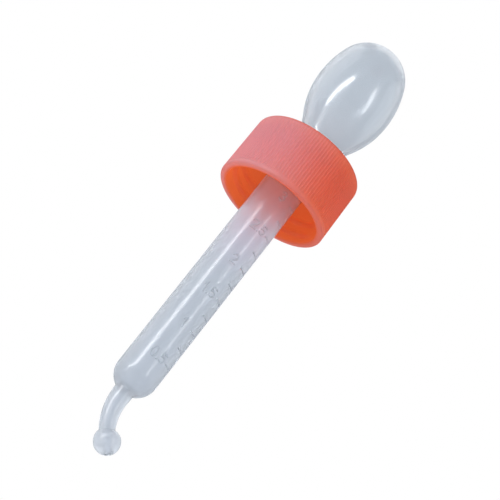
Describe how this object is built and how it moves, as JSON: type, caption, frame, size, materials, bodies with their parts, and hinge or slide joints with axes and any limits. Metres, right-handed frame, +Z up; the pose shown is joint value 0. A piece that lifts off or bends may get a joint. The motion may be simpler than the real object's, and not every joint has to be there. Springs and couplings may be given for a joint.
{
  "type": "medicine dropper",
  "caption": "Graduated medicine dropper: ribbed screw cap, soft squeeze bulb and a measuring tube with a bent nozzle and ball tip.",
  "frame": {"origin": "centre of the ring on the bulb's flange that seals on the bottle's lip, inside the cap", "axes": "+Z up the dropper towards the bulb; +X the side to which the nozzle bends; -Y the front, where the numerals are"},
  "size_m": [0.0274, 0.0274, 0.1185],
  "materials": {
    "cap_plastic": "moulded coral polypropylene, satin",
    "bulb_plastic": "soft milky polyethylene, smooth",
    "barrel_plastic": "milky translucent polyethylene, glossy"
  },
  "bodies": {
    "cap": {"screw_cap": "cap_plastic"},
    "dropper": {"graduated_barrel": "barrel_plastic", "bulb_neck": "bulb_plastic"},
    "bulb_front": {"bulb_front_wall": "bulb_plastic"},
    "bulb_rear": {"bulb_rear_wall": "bulb_plastic"}
  },
  "joints": [
    {"name": "cap_swivel", "type": "hinge", "parent": "cap", "child": "dropper", "pos_m": [0, 0, 0.0024], "axis": [0, 0, 1], "continuous": true},
    {"name": "bulb_squeeze", "type": "slide", "parent": "dropper", "child": "bulb_front", "axis": [0, 1, 0], "range_m": [0, 0.004], "stiffness_N_per_m": 600, "deforming": ["bulb_front_wall"]},
    {"name": "bulb_squeeze_rear", "type": "slide", "parent": "dropper", "child": "bulb_rear", "axis": [0, -1, 0], "range_m": [0, 0.004], "stiffness_N_per_m": 600, "deforming": ["bulb_rear_wall"]}
  ],
  "couplings": [
    {"joint": "bulb_squeeze_rear", "follows": "bulb_squeeze", "ratio": 1}
  ]
}
